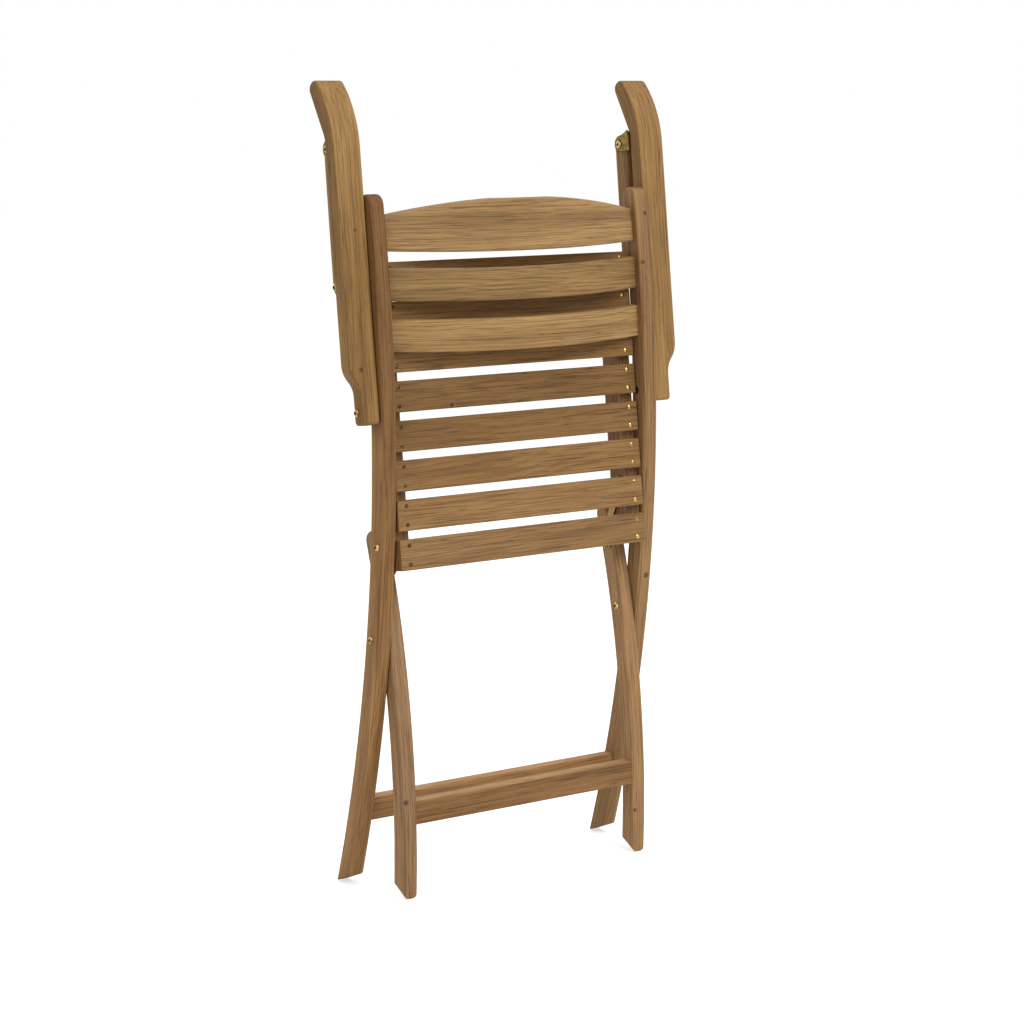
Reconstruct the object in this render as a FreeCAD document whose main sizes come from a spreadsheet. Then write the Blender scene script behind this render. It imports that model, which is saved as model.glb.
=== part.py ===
import FreeCAD, Part
import math
import os
import Sketcher
from FreeCAD import Placement, Rotation, Vector

# A folding teak armchair with brass fittings, standing folded up.
# Millimetres. +Z is up, the sitter faces -Y, and +X is the sitter's left-hand side.
# The origin lies on the ground in the middle of the folded chair.

# Driving dimensions
SIZES = {
    # Pivots of the folding frame, seen from the side as (depth, height)
    "cross_pivot_depth": 23.5,
    "cross_pivot_height": 377,
    "seat_pivot_depth": 41,
    "seat_pivot_height": 513.5,
    "arm_pivot_depth": 36.5,
    "arm_pivot_height": 705.5,
    # Bolts of the posts: the lower one up the seat and in front of its line,
    # the upper one back from the arm's front end and in front of the arm's line
    "post_foot_reach": 368.8,
    "post_foot_lead": 20,
    "post_head_setback": 98,
    "post_head_lead": 30.4,
    # Layers of the frame, measured outwards from the middle of the chair
    "rail_inner_offset": 198,
    "rail_width": 23,
    "leg_width": 24,
    "stile_gap": 1,
    "stile_width": 24,
    "arm_gap": 1,
    "post_offset": 260,
    "post_width": 24,
    # Stiles of the back frame, bent to one long arc
    "stile_bend_radius": 2142.3,
    "stile_bend_depth": -2100.1,
    "stile_bend_height": 650.3,
    "stile_depth": 32,
    "stile_top_height": 1008,
    "stile_sole_angle": 22.4,
    "stile_arris": 4.5,
    "stile_foot_radius": 6,
    # Rear legs, bent to a tighter arc
    "leg_bend_radius": 1517.7,
    "leg_bend_depth": -1464.3,
    "leg_bend_height": 65.1,
    "leg_depth": 28,
    "leg_top_rise": 13.5,
    "leg_sole_angle": 28.4,
    "leg_arris": 4,
    "leg_foot_radius": 8.5,
    # Each arc of a stile or leg is drawn in two lengths that join just above the foot
    "ankle_height": 8,
    # Stretchers
    "front_stretcher_depth": -26.1,
    "front_stretcher_height": 118.5,
    "front_stretcher_thickness": 23.5,
    "front_stretcher_width": 34,
    "rear_stretcher_depth": 51.5,
    "rear_stretcher_height": 125,
    "rear_stretcher_thickness": 24,
    "rear_stretcher_width": 35,
    "stretcher_arris": 6,
    # Seat
    "seat_tilt": 6.64,
    "seat_face_offset": 20.6,
    "seat_slat_count": 8,
    "seat_slat_pitch": 56,
    "seat_slat_width": 44,
    "seat_slat_thickness": 12.5,
    "seat_slat_start": -36.5,
    "seat_slat_arris": 2,
    "rail_depth": 37,
    "rail_nose_radius": 16,
    "rail_front_radius": 40,
    "rail_front_inset": 2,
    "rail_blend_angle": 35,
    "rail_arris": 3,
    "screw_edge_distance": 8.5,
    "screw_offset": 206,
    "screw_shank": 3.6,
    "screw_head": 6.4,
    "screw_head_height": 2,
    "screw_dome": 1,
    "screw_length": 30,
    "short_screw_length": 16,
    "screw_point": 4,
    # Back slats and top rail, bowed backwards
    "slat_bow": 35,
    "slat_bow_droop": 7,
    "slat_thickness": 11.5,
    "slat_face_offset": 3.3,
    "lower_slat_drop": 220,
    "lower_slat_width": 45.5,
    "upper_slat_drop": 149,
    "upper_slat_width": 46,
    "top_rail_drop": 80,
    "top_rail_width": 48,
    "top_rail_crown": 26.5,
    "slat_arris": 2,
    # Arms
    "arm_width": 45,
    "arm_neck_width": 28,
    "arm_thickness": 23,
    "arm_face_offset": 15.6,
    "arm_tail_length": 18,
    "arm_neck_end": 22,
    "arm_neck_taper_end": 68,
    "arm_length": 468,
    "arm_nose_run": 100,
    "arm_nose_drop": 37.6,
    "arm_nose_cut_angle": 30,
    "arm_belly_run": 89,
    "arm_belly_radius": 20,
    "arm_belly_slope": 24,
    "arm_arris": 3,
    "arm_tail_radius": 6,
    "arm_nose_radius": 11,
    "arm_chin_radius": 11,
    # Posts under the arms
    "post_depth": 26,
    "post_foot_setback": 5,
    "post_head_inset": 1,
    "post_arris": 3,
    # Brass plates that hinge the posts to the arms
    "bracket_thickness": 2.5,
    "bracket_side_gap": 0.4,
    "bracket_ear_radius": 13,
    "bracket_ear_inset": 2.5,
    "bracket_tail": 10.5,
    "bracket_root": 20,
    "bracket_flange": 2.5,
    "bracket_ear_lift": 95,
    "bracket_sweep_radius": 45,
    "bracket_screw_inset": 5,
    "bracket_screw_length": 18,
    "bracket_screw_head": 1.5,
    # Brass stays between the rear legs and the seat rails
    "stay_leg_drop": 38,
    "stay_rail_reach": 52,
    "stay_rail_lead": 5.8,
    "stay_width": 13,
    "stay_head_margin": 11,
    "stay_thickness": 2.5,
    "stay_gap": 0.3,
    "stay_eye_play": 5.2,
    "stay_eye_offset": 5,
    "stay_eye_wall": 3.8,
    "stay_pin": 5,
    "stay_leg_pin_head": 17.5,
    "stay_rail_pin_head": 10.5,
    "stay_pin_head_height": 2.5,
    "stay_pin_depth": 15,
    # Bolts and washers
    "bolt_shank": 6,
    "bolt_head": 11.6,
    "bolt_head_height": 3.6,
    "bolt_rim": 0.8,
    "bolt_socket": 4.4,
    "bolt_socket_depth": 2,
    "washer_size": 15,
    "post_sleeve_size": 14,
    "bore_clearance": 0.1,
    "rubbing_gap": 0.2,
    "screw_clearance": 0.1,
    "loose_bore_play": 3.4,
}

# Lengths below this count as nothing when edges and cuts are told apart
TINY = 0.01

doc = FreeCAD.newDocument("FoldingArmchair")
sheet = doc.addObject("Spreadsheet::Sheet", "Sizes")
for row, (alias, number) in enumerate(SIZES.items(), 1):
    sheet.set(f"A{row}", alias)
    sheet.set(f"B{row}", str(number))
    sheet.setAlias(f"B{row}", alias)
doc.recompute()


class Size:
    """A length or an angle, with the sheet formula that gives it."""

    def __init__(self, value, text):
        self.value = float(value)
        self.text = text

    def __add__(self, other):
        other = as_size(other)
        return Size(self.value + other.value, f"({self.text} + {other.text})")

    def __radd__(self, other):
        return as_size(other) + self

    def __sub__(self, other):
        other = as_size(other)
        return Size(self.value - other.value, f"({self.text} - {other.text})")

    def __rsub__(self, other):
        return as_size(other) - self

    def __mul__(self, other):
        other = as_size(other)
        return Size(self.value * other.value, f"({self.text} * {other.text})")

    def __rmul__(self, other):
        return as_size(other) * self

    def __truediv__(self, other):
        other = as_size(other)
        return Size(self.value / other.value, f"({self.text} / {other.text})")

    def __neg__(self):
        return Size(-self.value, f"(0 - {self.text})")


def as_size(number):
    if isinstance(number, Size):
        return number
    return Size(number, f"({number})")


def root(size):
    return Size(math.sqrt(size.value), f"sqrt({size.text})")


def sine(angle):
    return Size(math.sin(math.radians(angle.value)), f"sin({angle.text})")


def cosine(angle):
    return Size(math.cos(math.radians(angle.value)), f"cos({angle.text})")


def arctangent(ratio):
    return Size(math.degrees(math.atan(ratio.value)), f"(atan({ratio.text}) / (1 deg))")


def named(alias):
    return Size(getattr(sheet, alias), f"Sizes.{alias}")


# Derived places: each layer and pivot follows from the named sizes
leg_outer = named("rail_inner_offset") + named("leg_width")
stile_inner = leg_outer + named("stile_gap")
stile_outer = stile_inner + named("stile_width")
arm_inner = stile_outer + named("arm_gap")
rail_outer = named("rail_inner_offset") + named("rail_width")
post_inner = named("post_offset") - named("post_width") / 2
post_outer = named("post_offset") + named("post_width") / 2
bore = named("bolt_shank") + 2 * named("bore_clearance")
pin_hole = named("stay_pin") + 2 * named("bore_clearance")


def along(tilt, start, point):
    """How far up a member tilted forwards from the vertical a point lies."""
    depth = point[0] - start[0]
    height = point[1] - start[1]
    return height * cosine(tilt) - depth * sine(tilt)


def across(tilt, start, point):
    """How far behind the line of a tilted member a point lies."""
    depth = point[0] - start[0]
    height = point[1] - start[1]
    return depth * cosine(tilt) + height * sine(tilt)


def placed(tilt, start, up, behind):
    """The place that lies up a tilted member and behind its line."""
    depth = start[0] + behind * cosine(tilt) - up * sine(tilt)
    height = start[1] + up * cosine(tilt) + behind * sine(tilt)
    return depth, height


def on_arc(centre, radius, height):
    """The depth of an arc that bows backwards, at a height."""
    rise = height - centre[1]
    return centre[0] + root(radius * radius - rise * rise)


# Pivots of the chair, seen from the side as (depth, height)
seat_tilt = named("seat_tilt")
cross_pivot = (named("cross_pivot_depth"), named("cross_pivot_height"))
seat_pivot = (named("seat_pivot_depth"), named("seat_pivot_height"))
arm_pivot = (named("arm_pivot_depth"), named("arm_pivot_height"))
post_foot = placed(seat_tilt, seat_pivot, named("post_foot_reach"), -named("post_foot_lead"))
head_up = named("arm_length") - named("post_head_setback")
head_behind = -named("post_head_lead")
post_head = placed(seat_tilt, arm_pivot, head_up, head_behind)
leg_centre = (named("leg_bend_depth"), named("leg_bend_height"))
stay_leg_height = named("seat_pivot_height") - named("stay_leg_drop")
stay_leg_pin = (on_arc(leg_centre, named("leg_bend_radius"), stay_leg_height), stay_leg_height)
stay_rail_pin = placed(seat_tilt, seat_pivot, named("stay_rail_reach"), -named("stay_rail_lead"))
stay_run = stay_rail_pin[0] - stay_leg_pin[0]
stay_rise = stay_rail_pin[1] - stay_leg_pin[1]
stay_tilt = arctangent(stay_run / stay_rise)
stay_reach = root(stay_run * stay_run + stay_rise * stay_rise)


def make_body(label, x=0, depth=0, height=0, tilt=None):
    """A body whose own frame sits at a place and tilts forwards from the vertical."""
    body = doc.addObject("PartDesign::Body", label)
    body.Label = label
    x = as_size(x)
    depth = as_size(depth)
    height = as_size(height)
    turn = tilt.value if tilt else 0
    body.Placement = Placement(Vector(x.value, depth.value, height.value), Rotation(Vector(1, 0, 0), turn))
    body.setExpression("Placement.Base.x", x.text)
    body.setExpression("Placement.Base.y", depth.text)
    body.setExpression("Placement.Base.z", height.text)
    if tilt:
        body.setExpression("Placement.Rotation.Angle", tilt.text)
    return body


class Outline:
    """A sketch on an origin plane of its body, with every corner held by sheet formulas."""

    def __init__(self, body, plane, name):
        self.sketch = body.newObject("Sketcher::SketchObject", body.Name + "_" + name)
        origin = [item for item in body.Origin.OriginFeatures if item.Role == plane][0]
        self.sketch.AttachmentSupport = [(origin, "")]
        self.sketch.MapMode = "FlatFace"

    def bind(self, constraint, size):
        index = self.sketch.addConstraint(constraint)
        self.sketch.setExpression(f"Constraints[{index}]", size.text)

    def hold(self, edge, end, u, v):
        self.bind(Sketcher.Constraint("DistanceX", edge, end, u.value), u)
        self.bind(Sketcher.Constraint("DistanceY", edge, end, v.value), v)

    def path(self, *legs):
        """Close an outline. A leg (u, v) is straight. A leg (u, v, radius) is an arc that turns
        left, and a leg (u, v, radius, "right") turns right."""
        corners = [(as_size(leg[0]), as_size(leg[1])) for leg in legs]
        ends = []
        for index, leg in enumerate(legs):
            here = Vector(corners[index - 1][0].value, corners[index - 1][1].value, 0)
            there = Vector(corners[index][0].value, corners[index][1].value, 0)
            if len(leg) == 2:
                edge = self.sketch.addGeometry(Part.LineSegment(here, there))
                first, last = 1, 2
            else:
                radius = as_size(leg[2])
                left = len(leg) == 3
                edge = self.sketch.addGeometry(arc_between(here, there, radius.value, left))
                first, last = (1, 2) if left else (2, 1)
                self.bind(Sketcher.Constraint("Radius", edge, radius.value), radius)
            self.hold(edge, last, *corners[index])
            ends.append((edge, first, last))
        for index, (edge, first, last) in enumerate(ends):
            before, _, reached = ends[index - 1]
            self.sketch.addConstraint(Sketcher.Constraint("Coincident", before, reached, edge, first))

    def circle(self, u, v, diameter):
        u, v, diameter = as_size(u), as_size(v), as_size(diameter)
        centre = Vector(u.value, v.value, 0)
        edge = self.sketch.addGeometry(Part.Circle(centre, Vector(0, 0, 1), diameter.value / 2))
        self.bind(Sketcher.Constraint("Diameter", edge, diameter.value), diameter)
        self.hold(edge, 3, u, v)

    def box(self, u_low, v_low, u_high, v_high):
        self.path((u_low, v_low), (u_high, v_low), (u_high, v_high), (u_low, v_high))


def arc_between(here, there, radius, left):
    """The shorter arc between two points, drawn counter-clockwise as sketches want it."""
    chord = there - here
    middle = (here + there) * 0.5
    reach = math.sqrt(max(radius ** 2 - chord.Length ** 2 / 4, 0))
    side = Vector(-chord.y, chord.x, 0).normalize()
    centre = middle + side * (reach if left else -reach)
    begin, finish = (here, there) if left else (there, here)
    first = math.atan2(begin.y - centre.y, begin.x - centre.x)
    last = math.atan2(finish.y - centre.y, finish.x - centre.x)
    return Part.ArcOfCircle(Part.Circle(centre, Vector(0, 0, 1), radius), first, last)


def pad(body, outline, length, name="pad"):
    feature = body.newObject("PartDesign::Pad", body.Name + "_" + name)
    feature.Profile = outline.sketch
    feature.SideType = "Symmetric"
    feature.Length = length.value
    feature.setExpression("Length", length.text)
    doc.recompute()
    return feature


def pocket(body, outline, name):
    """Cut an outline right through a body, both ways."""
    feature = body.newObject("PartDesign::Pocket", body.Name + "_" + name)
    feature.Profile = outline.sketch
    feature.SideType = "Symmetric"
    feature.Type = "ThroughAll"
    doc.recompute()
    return feature


def revolve(body, outline, name):
    """Turn an outline about the body's X axis."""
    feature = body.newObject("PartDesign::Revolution", body.Name + "_" + name)
    feature.Profile = outline.sketch
    axis = [item for item in body.Origin.OriginFeatures if item.Role == "X_Axis"][0]
    feature.ReferenceAxis = (axis, [""])
    feature.Angle = 360
    doc.recompute()
    return feature


def round_edges(body, radius, chosen, name="arris"):
    """Round the edges of the body so far that a rule picks."""
    base = body.Tip
    names = [f"Edge{index}" for index, edge in enumerate(base.Shape.Edges, 1) if chosen(edge)]
    feature = body.newObject("PartDesign::Fillet", body.Name + "_" + name)
    feature.Base = (base, names)
    feature.Radius = radius.value
    feature.setExpression("Radius", radius.text)
    doc.recompute()
    return feature


def in_side_face(edge):
    """True for a curved edge that lies flat in one side face of a member."""
    return edge.BoundBox.XLength < TINY and isinstance(edge.Curve, Part.Circle)


def across_edge_near(v, w, reach=1.0):
    """A rule for edges that run straight across at a place in the side view."""

    def chosen(edge):
        box = edge.BoundBox
        straight = box.YLength < TINY and box.ZLength < TINY
        near = abs(box.Center.y - v.value) < reach and abs(box.Center.z - w.value) < reach
        return straight and near

    return chosen


def cut_sole(body, corner, slope, width, rounding):
    """Cut the foot of a member to a slanted sole with two rounded long edges."""
    waste = Outline(body, "XZ_Plane", "sole_outline")
    turn = Rotation(Vector(1, 0, 0), slope.value)
    waste.sketch.AttachmentOffset = Placement(Vector(0, corner[1].value, -corner[0].value), turn)
    waste.sketch.setExpression("AttachmentOffset.Base.y", corner[1].text)
    waste.sketch.setExpression("AttachmentOffset.Base.z", (-corner[0]).text)
    waste.sketch.setExpression("AttachmentOffset.Rotation.Angle", slope.text)
    side = width / 2
    waste.path(
        (-width, -2 * width),
        (width, -2 * width),
        (width, rounding),
        (side, rounding),
        (side - rounding, 0, rounding, "right"),
        (rounding - side, 0),
        (-side, rounding, rounding, "right"),
        (-width, rounding),
    )
    pocket(body, waste, "sole")


def bent_member(body, centre, radius, depth, width, top, arris):
    """A sawn member that follows an arc, with a round head, eased arrises and a foot left long."""
    inner = radius - depth / 2
    outer = radius + depth / 2
    cap_height = top - depth / 2
    rise = (cap_height - centre[1]) / radius
    run = root(1 - rise * rise)
    cap_front = (centre[0] + inner * run, centre[1] + inner * rise)
    cap_rear = (centre[0] + outer * run, centre[1] + outer * rise)
    apex = (centre[0] + radius * run - rise * depth / 2, centre[1] + radius * rise + run * depth / 2)
    below = -depth
    ankle = depth / 2 + named("ankle_height")
    outline = Outline(body, "YZ_Plane", "outline")
    outline.path(
        (on_arc(centre, outer, below), below),
        (on_arc(centre, outer, ankle), ankle, outer),
        (*cap_rear, outer),
        (*apex, depth / 2),
        (*cap_front, depth / 2),
        (on_arc(centre, inner, ankle), ankle, inner, "right"),
        (on_arc(centre, inner, below), below, inner, "right"),
    )
    pad(body, outline, width)
    round_edges(body, arris, in_side_face)


def bore_across(body, place, diameter, name):
    outline = Outline(body, "YZ_Plane", name + "_circle")
    outline.circle(place[0], place[1], diameter)
    pocket(body, outline, name)


def sink_across(body, side, level, place, diameter, depth, name):
    """Drill a round hole outwards from a level of the body's X axis, or inwards for a negative side."""
    outline = Outline(body, "YZ_Plane", name + "_circle")
    outline.circle(place[0], place[1], diameter)
    outline.sketch.AttachmentOffset = Placement(Vector(0, 0, level.value), Rotation())
    outline.sketch.setExpression("AttachmentOffset.Base.z", level.text)
    feature = body.newObject("PartDesign::Pocket", body.Name + "_" + name)
    feature.Profile = outline.sketch
    feature.Length = depth.value
    feature.setExpression("Length", depth.text)
    feature.Reversed = side > 0
    doc.recompute()
    return feature


def stile(label, side):
    """A front leg and back post in one: its foot is a front foot when the chair is open."""
    body = make_body(label, x=side * (stile_inner + stile_outer) / 2)
    centre = (named("stile_bend_depth"), named("stile_bend_height"))
    radius = named("stile_bend_radius")
    depth = named("stile_depth")
    width = named("stile_width")
    bent_member(body, centre, radius, depth, width, named("stile_top_height"), named("stile_arris"))
    ground = Size(0, "0")
    toe = (on_arc(centre, radius - depth / 2, ground), ground)
    cut_sole(body, toe, named("stile_sole_angle"), width, named("stile_foot_radius"))
    bore_across(body, cross_pivot, bore, "cross_bore")
    bore_across(body, seat_pivot, bore, "seat_bore")
    bore_across(body, arm_pivot, bore, "arm_bore")
    recess = named("bolt_head") + 2 * named("bore_clearance")
    sink_across(body, side, -side * width / 2, arm_pivot, recess, named("bolt_head_height"), "nut_recess")
    return body


def rear_leg(label, side):
    body = make_body(label, x=side * (named("rail_inner_offset") + leg_outer) / 2)
    radius = named("leg_bend_radius")
    depth = named("leg_depth")
    width = named("leg_width")
    top = named("seat_pivot_height") + named("leg_top_rise")
    bent_member(body, leg_centre, radius, depth, width, top, named("leg_arris"))
    ground = Size(0, "0")
    heel = (on_arc(leg_centre, radius + depth / 2, ground), ground)
    cut_sole(body, heel, -named("leg_sole_angle"), width, named("leg_foot_radius"))
    bore_across(body, cross_pivot, bore, "cross_bore")
    pin_depth = named("stay_pin_depth") + named("bore_clearance")
    sink_across(body, side, -side * width / 2, stay_leg_pin, pin_hole, pin_depth, "stay_bore")
    return body


def stretcher(label, depth, height, thickness, width, half_length):
    """A straight cross piece whose two upper arrises are well rounded."""
    body = make_body(label, depth=depth, height=height)
    outline = Outline(body, "YZ_Plane", "outline")
    outline.box(-thickness / 2, -width / 2, thickness / 2, width / 2)
    pad(body, outline, 2 * half_length)

    def upper(edge):
        return edge.BoundBox.XLength > half_length.value and edge.BoundBox.Center.z > 0

    round_edges(body, named("stretcher_arris"), upper)
    return body


slat_face = named("seat_face_offset")
rail_top = slat_face - named("seat_slat_thickness")
rail_foot = rail_top - named("rail_depth")
seat_rear = named("seat_slat_start")
seat_front = seat_rear + (named("seat_slat_count") - 1) * named("seat_slat_pitch") + named("seat_slat_width")
screw_hole = named("screw_shank") + 2 * named("screw_clearance")
head_hole = named("screw_head") + 2 * named("screw_clearance")
screw_rows = (named("screw_edge_distance"), named("seat_slat_width") - named("screw_edge_distance"))


def sink(body, outline, level, depth, name, upwards=False):
    """Sink an outline of the XZ plane into a body from a level of its Y axis."""
    outline.sketch.AttachmentOffset = Placement(Vector(0, 0, -level.value), Rotation())
    outline.sketch.setExpression("AttachmentOffset.Base.z", (-level).text)
    feature = body.newObject("PartDesign::Pocket", body.Name + "_" + name)
    feature.Profile = outline.sketch
    feature.Type = "Length"
    feature.Length = depth.value
    feature.setExpression("Length", depth.text)
    feature.Reversed = not upwards
    doc.recompute()
    return feature


def seat_rail(label, side):
    """A side rail of the seat, with a rounded lobe round the bolt of the post."""
    body = make_body(label, side * (named("rail_inner_offset") + rail_outer) / 2, *seat_pivot, seat_tilt)
    bolt_up = named("post_foot_reach")
    bolt_behind = -named("post_foot_lead")
    lobe = named("rail_nose_radius")
    blend = named("rail_blend_angle")
    lobe_exit = (bolt_behind - lobe * cosine(blend), bolt_up - lobe * sine(blend))
    blend_radius = (rail_foot - lobe_exit[0]) / (1 - cosine(blend))
    outline = Outline(body, "YZ_Plane", "outline")
    outline.path(
        (rail_foot, seat_rear),
        (rail_top, seat_rear),
        (rail_top, seat_front - named("rail_front_inset")),
        (bolt_behind, bolt_up + lobe, named("rail_front_radius")),
        (bolt_behind - lobe, bolt_up, lobe),
        (*lobe_exit, lobe),
        (rail_foot, lobe_exit[1] - blend_radius * sine(blend), blend_radius, "right"),
    )
    pad(body, outline, named("rail_width"))

    def lower_edge(edge):
        flat = edge.BoundBox.XLength < TINY
        middle = edge.BoundBox.Center
        return flat and middle.y < rail_top.value - TINY and middle.z > seat_rear.value + TINY

    round_edges(body, named("rail_arris"), lower_edge)
    bore_across(body, (Size(0, "0"), Size(0, "0")), bore, "seat_bore")
    bore_across(body, (bolt_behind, bolt_up), bore, "post_bore")
    pin = (-named("stay_rail_lead"), named("stay_rail_reach"))
    inner_face = -side * named("rail_width") / 2
    pin_depth = named("stay_pin_depth") + named("bore_clearance")
    sink_across(body, side, inner_face, pin, pin_hole, pin_depth, "stay_bore")
    holes = Outline(body, "XZ_Plane", "screw_circles")
    middle = (named("rail_inner_offset") + rail_outer) / 2
    for row in screw_rows:
        holes.circle(side * (named("screw_offset") - middle), seat_rear + row, screw_hole)
    depth = named("screw_length") - named("seat_slat_thickness") + named("screw_clearance")
    hole = sink(body, holes, rail_top, depth, "screw_holes")
    pattern = body.newObject("PartDesign::LinearPattern", body.Name + "_screw_pattern")
    pattern.Originals = [hole]
    pattern.Direction = ([item for item in body.Origin.OriginFeatures if item.Role == "Z_Axis"][0], [""])
    reach = (named("seat_slat_count") - 1) * named("seat_slat_pitch")
    pattern.Length = reach.value
    pattern.setExpression("Length", reach.text)
    pattern.Occurrences = int(named("seat_slat_count").value)
    pattern.setExpression("Occurrences", named("seat_slat_count").text)
    body.Tip = pattern
    doc.recompute()
    return body


def seat_slat(label, index):
    """One board of the seat, counted from the rear, with two screws at each end."""
    thickness = named("seat_slat_thickness")
    width = named("seat_slat_width")
    up = seat_rear + index * named("seat_slat_pitch") + width / 2
    body = make_body(label, 0, *placed(seat_tilt, seat_pivot, up, slat_face - thickness / 2), seat_tilt)
    outline = Outline(body, "YZ_Plane", "outline")
    outline.box(-thickness / 2, -width / 2, thickness / 2, width / 2)
    pad(body, outline, 2 * rail_outer)
    round_edges(body, named("seat_slat_arris"), lambda edge: True)
    holes = Outline(body, "XZ_Plane", "screw_circles")
    heads = Outline(body, "XZ_Plane", "head_circles")
    for side in (1, -1):
        for row in screw_rows:
            holes.circle(side * named("screw_offset"), row - width / 2, screw_hole)
            heads.circle(side * named("screw_offset"), row - width / 2, head_hole)
    pocket(body, holes, "screw_holes")
    sink(body, heads, thickness / 2, named("screw_head_height"), "head_holes")
    return body


def back_slat(label, foot, width, crown=None):
    """A board of the back, bowed backwards in plan, and arched along the top if it has a crown."""
    centre = (named("stile_bend_depth"), named("stile_bend_height"))
    radius = named("stile_bend_radius")
    droop = named("slat_bow_droop")
    rise = width + crown if crown else width
    middle = foot + rise / 2
    body = make_body(label, 0, on_arc(centre, radius, middle), middle, -droop)
    bow = named("slat_bow")
    thickness = named("slat_thickness")
    half = stile_inner
    outer = (half * half + bow * bow) / (2 * bow)
    inner = outer - thickness
    rear_end = named("slat_face_offset")
    bow_centre = rear_end + bow - outer
    front_end = bow_centre + root(inner * inner - half * half)
    outline = Outline(body, "XY_Plane", "outline")
    outline.path(
        (-half, front_end),
        (half, front_end, inner, "right"),
        (half, rear_end),
        (-half, rear_end, outer),
    )
    lean = math.asin((middle.value - centre[1].value) / radius.value) + math.radians(droop.value)
    feature = pad(body, outline, rise)
    feature.UseCustomVector = True
    feature.Direction = Vector(0, -math.sin(lean), math.cos(lean))
    feature.AlongSketchNormal = False
    doc.recompute()
    if crown:
        arch = (half * half + crown * crown) / (2 * crown)
        shoulder = rise / 2 - crown
        above = Outline(body, "XZ_Plane", "crown_outline")
        above.path((half, shoulder, arch, "right"), (half, rise), (-half, rise), (-half, shoulder))
        pocket(body, above, "crown")
    round_edges(body, named("slat_arris"), lambda edge: edge.BoundBox.XLength > half.value)
    return body


arm_top = named("arm_face_offset")
arm_foot = arm_top - named("arm_thickness")
arm_middle = arm_inner + named("arm_width") / 2
arm_belly_start = named("arm_length") - named("arm_belly_run")
bracket_screws_up = (
    head_up - named("bracket_tail") + named("bracket_screw_inset"),
    arm_belly_start - named("bracket_screw_inset"),
)


def arm(label, side):
    """An arm rest: a narrow neck at its pivot, a flat run and a nose that drops at the front."""
    body = make_body(label, side * arm_middle, *arm_pivot, seat_tilt)
    tail = -named("arm_tail_length")
    drop = named("arm_nose_drop")
    run = named("arm_nose_run")
    crest = (arm_top, named("arm_length") - run)
    nose = (arm_top - drop, named("arm_length"))
    crest_radius = (drop * drop + run * run) / (2 * drop)
    belly = named("arm_belly_radius")
    slope = named("arm_belly_slope")
    bend = (arm_foot - belly * (1 - cosine(slope)), arm_belly_start + belly * sine(slope))
    cut = named("arm_nose_cut_angle")
    fall = sine(slope) / cosine(slope)
    reach = (nose[0] - bend[0] + fall * (nose[1] - bend[1])) / (cosine(cut) + fall * sine(cut))
    chin = (nose[0] - reach * cosine(cut), nose[1] - reach * sine(cut))
    outline = Outline(body, "YZ_Plane", "outline")
    outline.path(
        (arm_foot, tail),
        (arm_top, tail),
        crest,
        (*nose, crest_radius),
        chin,
        bend,
        (arm_foot, arm_belly_start, belly, "right"),
    )
    pad(body, outline, named("arm_width"))
    half = side * named("arm_width") / 2
    neck = half - side * (named("arm_width") - named("arm_neck_width"))
    step = (named("arm_width") - named("arm_neck_width")) / 2
    rise = (named("arm_neck_taper_end") - named("arm_neck_end")) / 2
    sweep = (step * step + rise * rise) / (2 * step)
    first, second = (("right",), ()) if side > 0 else ((), ("right",))
    waste = Outline(body, "XZ_Plane", "neck_outline")
    waste.path(
        (neck, 2 * tail),
        (2 * half, 2 * tail),
        (2 * half, named("arm_neck_taper_end")),
        (half, named("arm_neck_taper_end")),
        (half - side * step, named("arm_neck_end") + rise, sweep, *first),
        (neck, named("arm_neck_end"), sweep, *second),
    )
    pocket(body, waste, "neck")
    round_edges(body, named("arm_nose_radius"), across_edge_near(*nose), "nose")
    round_edges(body, named("arm_chin_radius"), across_edge_near(*chin), "chin")

    def tail_edges(edge):
        box = edge.BoundBox
        straight = box.YLength < TINY and box.ZLength < TINY
        return straight and abs(box.Center.z - tail.value) < TINY

    round_edges(body, named("arm_tail_radius"), tail_edges, "tail")

    def long_edges(edge):
        return edge.Length > named("arm_tail_radius").value and edge.BoundBox.ZLength > TINY

    round_edges(body, named("arm_arris"), long_edges)
    bore_across(body, (Size(0, "0"), Size(0, "0")), bore, "pivot_bore")
    holes = Outline(body, "XZ_Plane", "screw_circles")
    for up in bracket_screws_up:
        holes.circle(side * (named("post_offset") - arm_middle), up, screw_hole)
    depth = named("bracket_screw_length") - named("bracket_flange") + named("screw_clearance")
    sink(body, holes, arm_foot, depth, "screw_holes", upwards=True)
    return body


def post(label, side):
    """A post from the front of the seat up to the arm, round at both ends."""
    foot_middle = post_foot[0] + named("post_foot_setback")
    head_middle = post_head[0] - named("post_head_inset")
    lean = arctangent((foot_middle - head_middle) / (post_head[1] - post_foot[1]))
    body = make_body(label, side * named("post_offset"), *post_foot, lean)
    centre = named("post_foot_setback") * cosine(lean)
    half = named("post_depth") / 2
    head = (across(lean, post_foot, post_head), along(lean, post_foot, post_head))
    zero = Size(0, "0")
    outline = Outline(body, "YZ_Plane", "outline")
    outline.path(
        (centre + half, zero, half),
        (centre + half, head[1]),
        (centre, head[1] + half, half),
        (centre - half, head[1], half),
        (centre - half, zero),
        (centre, -half, half),
    )
    pad(body, outline, named("post_width"))
    round_edges(body, named("post_arris"), lambda edge: edge.BoundBox.XLength < TINY)
    bore_across(body, (zero, zero), bore, "foot_bore")
    bore_across(body, head, bore + 2 * named("loose_bore_play"), "head_bore")
    return body


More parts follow.
